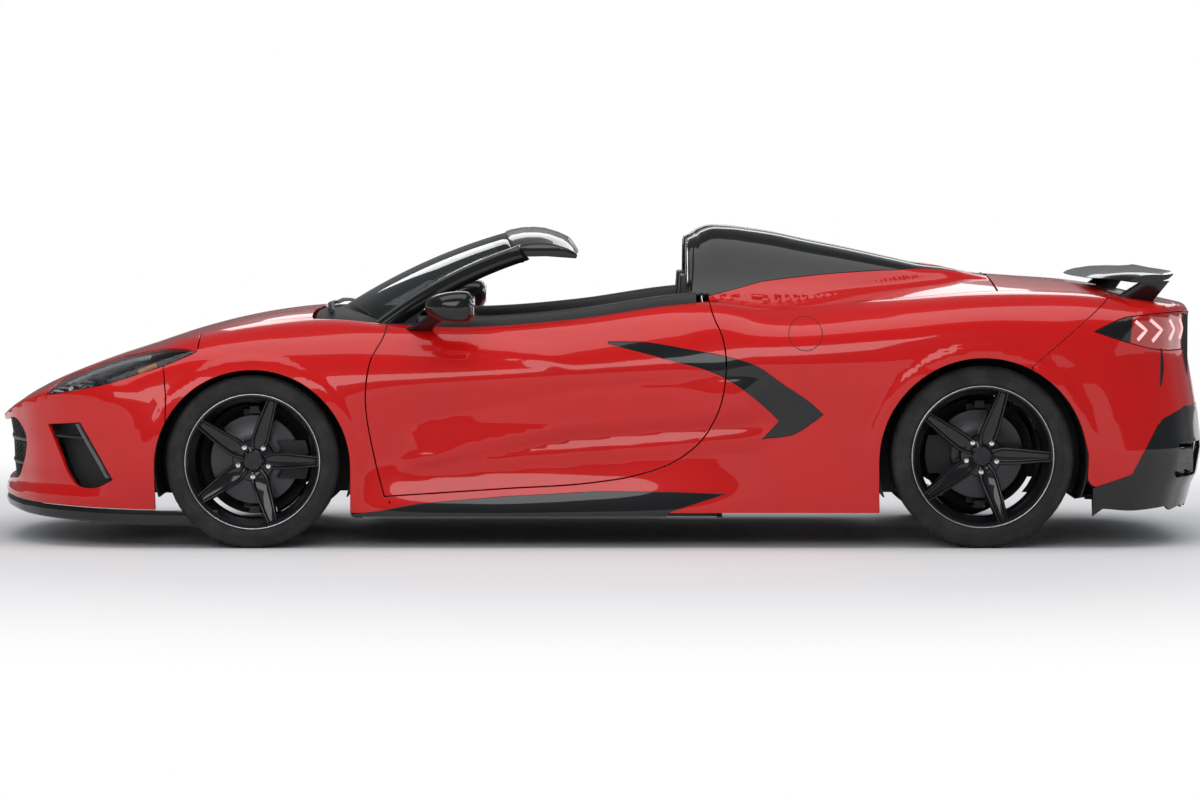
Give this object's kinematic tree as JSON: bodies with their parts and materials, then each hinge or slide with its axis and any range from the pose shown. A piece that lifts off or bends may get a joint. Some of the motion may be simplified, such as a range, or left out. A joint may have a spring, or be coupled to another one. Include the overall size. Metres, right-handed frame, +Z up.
{
  "type": "open two-seat sports car",
  "caption": "Low open two-seat sports car with its roof stowed: opening doors, lids and roof cover, turning and steered wheels, raised rear wing, fairings behind the seats.",
  "frame": {"origin": "centre of the car's outline on the ground, under the middle of its length", "axes": "nose toward -X, tail toward +X, left side toward -Y, +Z up, ground at Z = 0"},
  "size_m": [4.63, 2.06, 1.19],
  "materials": {
    "body_paint": "gloss",
    "gloss_black": "gloss",
    "matte_black": "matte",
    "structure": "satin",
    "windshield_glass": "gloss",
    "lamp_lens": "gloss",
    "tail_lens": "gloss",
    "tyre_rubber": "matte",
    "rim_black": "gloss",
    "seat_leather": "satin",
    "interior": "satin",
    "engine_metal": "satin",
    "exhaust_metal": "gloss",
    "suspension_metal": "satin"
  },
  "bodies": {
    "body": {"front_bumper": "body_paint", "front_fenders": "body_paint", "rear_quarters": "body_paint", "rear_bumper": "body_paint", "front_splitter": "gloss_black", "cowl_panel": "gloss_black", "quarter_intake_blades": "gloss_black", "side_skirts": "gloss_black", "windshield_frame": "gloss_black", "front_grilles": "matte_black", "wheel_house_liners": "matte_black", "luggage_tubs": "matte_black", "rear_diffuser": "matte_black", "dashboard": "interior", "seats": "seat_leather", "body_tub": "structure", "engine": "engine_metal", "exhaust_tips": "exhaust_metal", "windshield": "windshield_glass", "headlamps": "lamp_lens", "tail_lamps": "tail_lens", "front_arms": "suspension_metal", "rear_suspension": "suspension_metal"},
    "front_lid": {"hood": "body_paint"},
    "roof_cover": {"tonneau": "body_paint"},
    "rear_lid": {"decklid": "body_paint", "spoiler": "gloss_black"},
    "door_assembly_left": {"door_left": "body_paint", "door_blade_left": "gloss_black", "door_trim_left": "interior", "door_mirror_left": "gloss_black"},
    "steering_knuckle_left": {"knuckle_left": "suspension_metal"},
    "wheel_front_left": {"rim_front_left": "rim_black", "tyre_front_left": "tyre_rubber"},
    "wheel_rear_left": {"rim_rear_left": "rim_black", "tyre_rear_left": "tyre_rubber"},
    "door_assembly_right": {"door_right": "body_paint", "door_blade_right": "gloss_black", "door_trim_right": "interior", "door_mirror_right": "gloss_black"},
    "steering_knuckle_right": {"knuckle_right": "suspension_metal"},
    "wheel_front_right": {"rim_front_right": "rim_black", "tyre_front_right": "tyre_rubber"},
    "wheel_rear_right": {"rim_rear_right": "rim_black", "tyre_rear_right": "tyre_rubber"},
    "steering": {"steering_wheel": "interior"}
  },
  "joints": [
    {"name": "door_left_hinge", "type": "hinge", "parent": "body", "child": "door_assembly_left", "pos_m": [-0.8787, -0.9245, 0.5], "axis": [0, 0, -1], "range_deg": [0, 65]},
    {"name": "door_right_hinge", "type": "hinge", "parent": "body", "child": "door_assembly_right", "pos_m": [-0.8787, 0.9245, 0.5], "axis": [0, 0, 1], "range_deg": [0, 65]},
    {"name": "front_lid_hinge", "type": "hinge", "parent": "body", "child": "front_lid", "pos_m": [-1.092, 0, 0.87], "axis": [0, 1, 0], "range_deg": [0, 60]},
    {"name": "roof_cover_hinge", "type": "hinge", "parent": "body", "child": "roof_cover", "pos_m": [1.489, 0, 1.004], "axis": [0, 1, 0], "range_deg": [0, 60]},
    {"name": "rear_lid_hinge", "type": "hinge", "parent": "body", "child": "rear_lid", "pos_m": [1.489, 0, 1.004], "axis": [0, -1, 0], "range_deg": [0, 50]},
    {"name": "steer_left", "type": "hinge", "parent": "body", "child": "steering_knuckle_left", "pos_m": [-1.303, -0.79, 0.324], "axis": [0, 0, 1], "range_deg": [-30, 30]},
    {"name": "steer_right", "type": "hinge", "parent": "body", "child": "steering_knuckle_right", "pos_m": [-1.303, 0.79, 0.324], "axis": [0, 0, 1], "range_deg": [-30, 30]},
    {"name": "steering_wheel_turn", "type": "hinge", "parent": "body", "child": "steering", "pos_m": [-0.44, -0.37, 0.71765], "axis": [0.9322, 0, 0.3619], "range_deg": [-450, 450]},
    {"name": "spin_front_left", "type": "hinge", "parent": "steering_knuckle_left", "child": "wheel_front_left", "pos_m": [-1.303, -0.824, 0.324], "axis": [0, 1, 0], "continuous": true},
    {"name": "spin_rear_left", "type": "hinge", "parent": "body", "child": "wheel_rear_left", "pos_m": [1.42, -0.793, 0.342], "axis": [0, 1, 0], "continuous": true},
    {"name": "spin_front_right", "type": "hinge", "parent": "steering_knuckle_right", "child": "wheel_front_right", "pos_m": [-1.303, 0.824, 0.324], "axis": [0, 1, 0], "continuous": true},
    {"name": "spin_rear_right", "type": "hinge", "parent": "body", "child": "wheel_rear_right", "pos_m": [1.42, 0.793, 0.342], "axis": [0, 1, 0], "continuous": true}
  ],
  "couplings": [
    {"joint": "steer_right", "follows": "steer_left", "ratio": 1},
    {"joint": "steering_wheel_turn", "follows": "steer_left", "ratio": 15}
  ]
}
